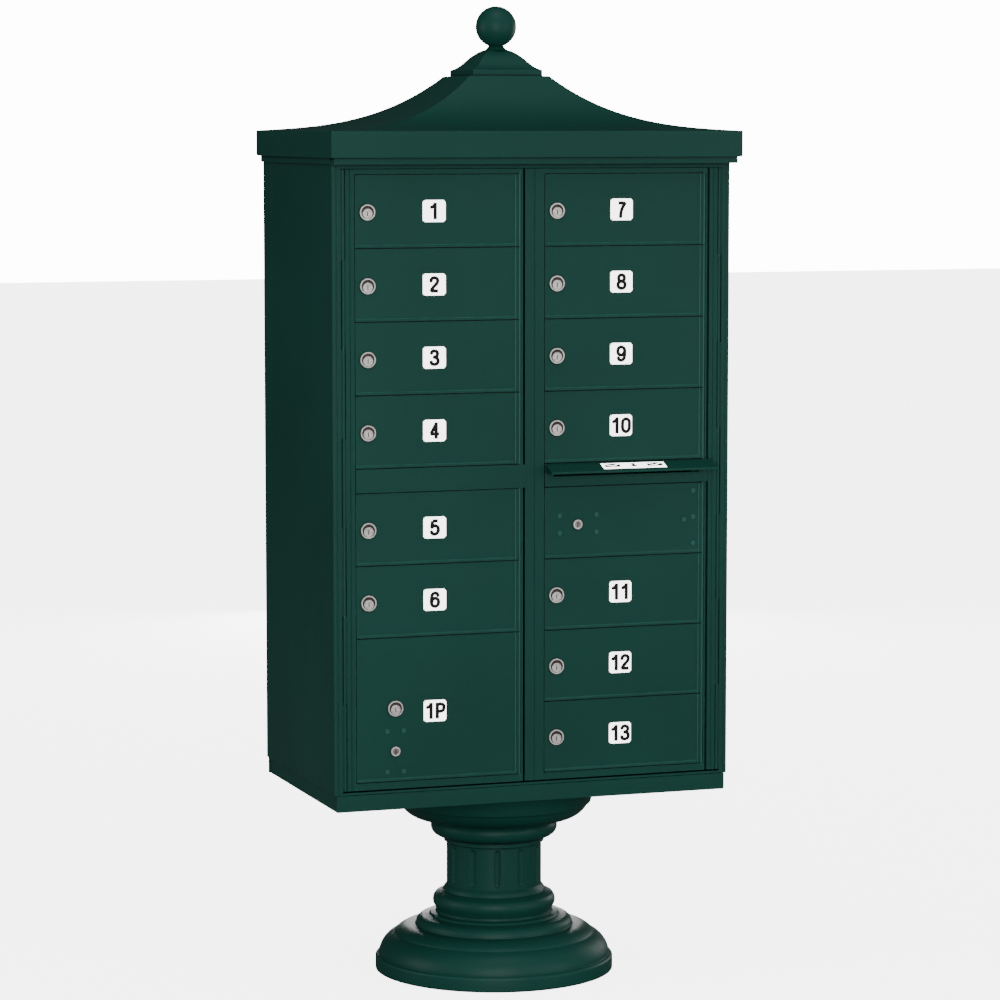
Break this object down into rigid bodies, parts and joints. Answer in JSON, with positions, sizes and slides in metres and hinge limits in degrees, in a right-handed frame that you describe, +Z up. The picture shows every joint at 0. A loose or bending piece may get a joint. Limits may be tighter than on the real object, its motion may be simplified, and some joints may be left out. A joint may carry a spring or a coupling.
{
  "type": "cluster mailbox unit",
  "caption": "Pedestal cluster mailbox: cabinet with hinged loading leaves, locking tenant doors, a parcel door, an outgoing-mail slot and a pagoda roof with ball finial.",
  "frame": {"origin": "centre of the pedestal foot, on the ground", "axes": "+Z up, +X to the right seen from the front, front doors face -Y"},
  "size_m": [0.796, 0.5046, 1.8362],
  "materials": {
    "green_paint": "satin powder coat over sheet metal",
    "cast_green": "satin powder coat over castings",
    "lock_metal": "satin nickel plate",
    "bright_steel": "zinc plated",
    "bare_aluminium": "mill finish",
    "post_steel": "black primer",
    "white_label": "printed film"
  },
  "bodies": {
    "cabinet": {"pedestal_base": "cast_green", "pedestal_shaft": "cast_green", "pedestal_capital": "cast_green", "pedestal_post": "post_steel", "head_bolts": "bright_steel", "bottom_pan": "green_paint", "side_panel_left": "green_paint", "side_panel_right": "green_paint", "back_panel": "green_paint", "front_rails": "green_paint", "cabinet_top": "green_paint", "compartment_partitions": "bare_aluminium", "compartment_shelves": "bare_aluminium", "roof_canopy": "green_paint", "roof_bed_mould": "green_paint", "roof_cupola": "cast_green", "roof_finial": "cast_green", "leaf_hinge_rods": "bright_steel"},
    "left_leaf": {"left_leaf_frame": "green_paint", "left_door_hinge_rod": "bright_steel"},
    "right_leaf": {"right_leaf_frame": "green_paint", "right_band_panel": "green_paint", "right_door_hinge_rod": "bright_steel", "mail_slot_hood": "green_paint", "mail_slot_label": "white_label", "mail_slot_chute": "bare_aluminium"},
    "door_1": {"door_1": "green_paint"},
    "lock_plug_1": {"lock_plug_1": "lock_metal"},
    "door_2": {"door_2": "green_paint"},
    "lock_plug_2": {"lock_plug_2": "lock_metal"},
    "door_3": {"door_3": "green_paint"},
    "lock_plug_3": {"lock_plug_3": "lock_metal"},
    "door_4": {"door_4": "green_paint"},
    "lock_plug_4": {"lock_plug_4": "lock_metal"},
    "door_5": {"door_5": "green_paint"},
    "lock_plug_5": {"lock_plug_5": "lock_metal"},
    "door_6": {"door_6": "green_paint"},
    "lock_plug_6": {"lock_plug_6": "lock_metal"},
    "parcel_door": {"parcel_door": "green_paint"},
    "parcel_lock_plug": {"parcel_lock_plug": "lock_metal"},
    "parcel_carrier_lock_plug": {"parcel_carrier_lock_plug": "lock_metal"},
    "door_7": {"door_7": "green_paint"},
    "lock_plug_7": {"lock_plug_7": "lock_metal"},
    "door_8": {"door_8": "green_paint"},
    "lock_plug_8": {"lock_plug_8": "lock_metal"},
    "door_9": {"door_9": "green_paint"},
    "lock_plug_9": {"lock_plug_9": "lock_metal"},
    "door_10": {"door_10": "green_paint"},
    "lock_plug_10": {"lock_plug_10": "lock_metal"},
    "outgoing_mail_door": {"outgoing_mail_door": "green_paint"},
    "outgoing_lock_plug": {"outgoing_lock_plug": "lock_metal"},
    "door_11": {"door_11": "green_paint"},
    "lock_plug_11": {"lock_plug_11": "lock_metal"},
    "door_12": {"door_12": "green_paint"},
    "lock_plug_12": {"lock_plug_12": "lock_metal"},
    "door_13": {"door_13": "green_paint"},
    "lock_plug_13": {"lock_plug_13": "lock_metal"},
    "latch_handle": {"latch_handle": "bright_steel"},
    "latch_rod_upper": {"latch_rod_upper": "bright_steel"},
    "latch_rod_lower": {"latch_rod_lower": "bright_steel"}
  },
  "joints": [
    {"name": "left_leaf_hinge", "type": "hinge", "parent": "cabinet", "child": "left_leaf", "pos_m": [-0.3666, -0.2266, 0.96], "axis": [0, 0, -1], "range_deg": [0, 110]},
    {"name": "right_leaf_hinge", "type": "hinge", "parent": "cabinet", "child": "right_leaf", "pos_m": [0.3666, -0.2266, 0.96], "axis": [0, 0, 1], "range_deg": [0, 110]},
    {"name": "latch_handle_turn", "type": "hinge", "parent": "right_leaf", "child": "latch_handle", "pos_m": [0.0004, -0.2196, 0.88], "axis": [0, 1, 0], "range_deg": [0, 90]},
    {"name": "latch_rod_upper_slide", "type": "slide", "parent": "right_leaf", "child": "latch_rod_upper", "axis": [0, 0, 1], "range_m": [0, 0.0115]},
    {"name": "latch_rod_lower_slide", "type": "slide", "parent": "right_leaf", "child": "latch_rod_lower", "axis": [0, 0, -1], "range_m": [0, 0.0115]},
    {"name": "parcel_door_hinge", "type": "hinge", "parent": "left_leaf", "child": "parcel_door", "pos_m": [-0.0289, -0.2272, 0.54785], "axis": [0, 0, 1], "range_deg": [0, 100]},
    {"name": "parcel_lock_plug_turn", "type": "hinge", "parent": "parcel_door", "child": "parcel_lock_plug", "pos_m": [-0.2705, -0.2286, 0.5475], "axis": [0, -1, 0], "range_deg": [0, 90]},
    {"name": "parcel_carrier_lock_plug_turn", "type": "hinge", "parent": "parcel_door", "child": "parcel_carrier_lock_plug", "pos_m": [-0.2705, -0.2286, 0.4705], "axis": [0, 1, 0], "range_deg": [0, 90]},
    {"name": "outgoing_mail_door_hinge", "type": "hinge", "parent": "right_leaf", "child": "outgoing_mail_door", "pos_m": [0.3357, -0.2272, 0.88123], "axis": [0, 0, 1], "range_deg": [0, 100]},
    {"name": "outgoing_lock_plug_turn", "type": "hinge", "parent": "outgoing_mail_door", "child": "outgoing_lock_plug", "pos_m": [0.085, -0.2286, 0.877], "axis": [0, 1, 0], "range_deg": [0, 90]},
    {"name": "door_1_hinge", "type": "hinge", "parent": "left_leaf", "child": "door_1", "pos_m": [-0.0289, -0.2272, 1.45932], "axis": [0, 0, 1], "range_deg": [0, 100]},
    {"name": "door_2_hinge", "type": "hinge", "parent": "left_leaf", "child": "door_2", "pos_m": [-0.0289, -0.2272, 1.32597], "axis": [0, 0, 1], "range_deg": [0, 100]},
    {"name": "door_3_hinge", "type": "hinge", "parent": "left_leaf", "child": "door_3", "pos_m": [-0.0289, -0.2272, 1.19263], "axis": [0, 0, 1], "range_deg": [0, 100]},
    {"name": "door_4_hinge", "type": "hinge", "parent": "left_leaf", "child": "door_4", "pos_m": [-0.0289, -0.2272, 1.05927], "axis": [0, 0, 1], "range_deg": [0, 100]},
    {"name": "door_5_hinge", "type": "hinge", "parent": "left_leaf", "child": "door_5", "pos_m": [-0.0289, -0.2272, 0.88123], "axis": [0, 0, 1], "range_deg": [0, 100]},
    {"name": "door_6_hinge", "type": "hinge", "parent": "left_leaf", "child": "door_6", "pos_m": [-0.0289, -0.2272, 0.74787], "axis": [0, 0, 1], "range_deg": [0, 100]},
    {"name": "door_7_hinge", "type": "hinge", "parent": "right_leaf", "child": "door_7", "pos_m": [0.3357, -0.2272, 1.45932], "axis": [0, 0, 1], "range_deg": [0, 100]},
    {"name": "door_8_hinge", "type": "hinge", "parent": "right_leaf", "child": "door_8", "pos_m": [0.3357, -0.2272, 1.32597], "axis": [0, 0, 1], "range_deg": [0, 100]},
    {"name": "door_9_hinge", "type": "hinge", "parent": "right_leaf", "child": "door_9", "pos_m": [0.3357, -0.2272, 1.19263], "axis": [0, 0, 1], "range_deg": [0, 100]},
    {"name": "door_10_hinge", "type": "hinge", "parent": "right_leaf", "child": "door_10", "pos_m": [0.3357, -0.2272, 1.05927], "axis": [0, 0, 1], "range_deg": [0, 100]},
    {"name": "door_11_hinge", "type": "hinge", "parent": "right_leaf", "child": "door_11", "pos_m": [0.3357, -0.2272, 0.74787], "axis": [0, 0, 1], "range_deg": [0, 100]},
    {"name": "door_12_hinge", "type": "hinge", "parent": "right_leaf", "child": "door_12", "pos_m": [0.3357, -0.2272, 0.61452], "axis": [0, 0, 1], "range_deg": [0, 100]},
    {"name": "door_13_hinge", "type": "hinge", "parent": "right_leaf", "child": "door_13", "pos_m": [0.3357, -0.2272, 0.48118], "axis": [0, 0, 1], "range_deg": [0, 100]},
    {"name": "lock_plug_1_turn", "type": "hinge", "parent": "door_1", "child": "lock_plug_1", "pos_m": [-0.32105, -0.2286, 1.45532], "axis": [0, 1, 0], "range_deg": [0, 90]},
    {"name": "lock_plug_2_turn", "type": "hinge", "parent": "door_2", "child": "lock_plug_2", "pos_m": [-0.32105, -0.2286, 1.32197], "axis": [0, 1, 0], "range_deg": [0, 90]},
    {"name": "lock_plug_3_turn", "type": "hinge", "parent": "door_3", "child": "lock_plug_3", "pos_m": [-0.32105, -0.2286, 1.18863], "axis": [0, 1, 0], "range_deg": [0, 90]},
    {"name": "lock_plug_4_turn", "type": "hinge", "parent": "door_4", "child": "lock_plug_4", "pos_m": [-0.32105, -0.2286, 1.05527], "axis": [0, 1, 0], "range_deg": [0, 90]},
    {"name": "lock_plug_5_turn", "type": "hinge", "parent": "door_5", "child": "lock_plug_5", "pos_m": [-0.32105, -0.2286, 0.87723], "axis": [0, 1, 0], "range_deg": [0, 90]},
    {"name": "lock_plug_6_turn", "type": "hinge", "parent": "door_6", "child": "lock_plug_6", "pos_m": [-0.32105, -0.2286, 0.74387], "axis": [0, 1, 0], "range_deg": [0, 90]},
    {"name": "lock_plug_7_turn", "type": "hinge", "parent": "door_7", "child": "lock_plug_7", "pos_m": [0.04355, -0.2286, 1.45532], "axis": [0, 1, 0], "range_deg": [0, 90]},
    {"name": "lock_plug_8_turn", "type": "hinge", "parent": "door_8", "child": "lock_plug_8", "pos_m": [0.04355, -0.2286, 1.32197], "axis": [0, 1, 0], "range_deg": [0, 90]},
    {"name": "lock_plug_9_turn", "type": "hinge", "parent": "door_9", "child": "lock_plug_9", "pos_m": [0.04355, -0.2286, 1.18863], "axis": [0, 1, 0], "range_deg": [0, 90]},
    {"name": "lock_plug_10_turn", "type": "hinge", "parent": "door_10", "child": "lock_plug_10", "pos_m": [0.04355, -0.2286, 1.05527], "axis": [0, 1, 0], "range_deg": [0, 90]},
    {"name": "lock_plug_11_turn", "type": "hinge", "parent": "door_11", "child": "lock_plug_11", "pos_m": [0.04355, -0.2286, 0.74387], "axis": [0, 1, 0], "range_deg": [0, 90]},
    {"name": "lock_plug_12_turn", "type": "hinge", "parent": "door_12", "child": "lock_plug_12", "pos_m": [0.04355, -0.2286, 0.61052], "axis": [0, 1, 0], "range_deg": [0, 90]},
    {"name": "lock_plug_13_turn", "type": "hinge", "parent": "door_13", "child": "lock_plug_13", "pos_m": [0.04355, -0.2286, 0.47718], "axis": [0, 1, 0], "range_deg": [0, 90]}
  ],
  "couplings": [
    {"joint": "latch_rod_upper_slide", "follows": "latch_handle_turn", "m_per_rad": 0.007},
    {"joint": "latch_rod_lower_slide", "follows": "latch_handle_turn", "m_per_rad": 0.007}
  ]
}
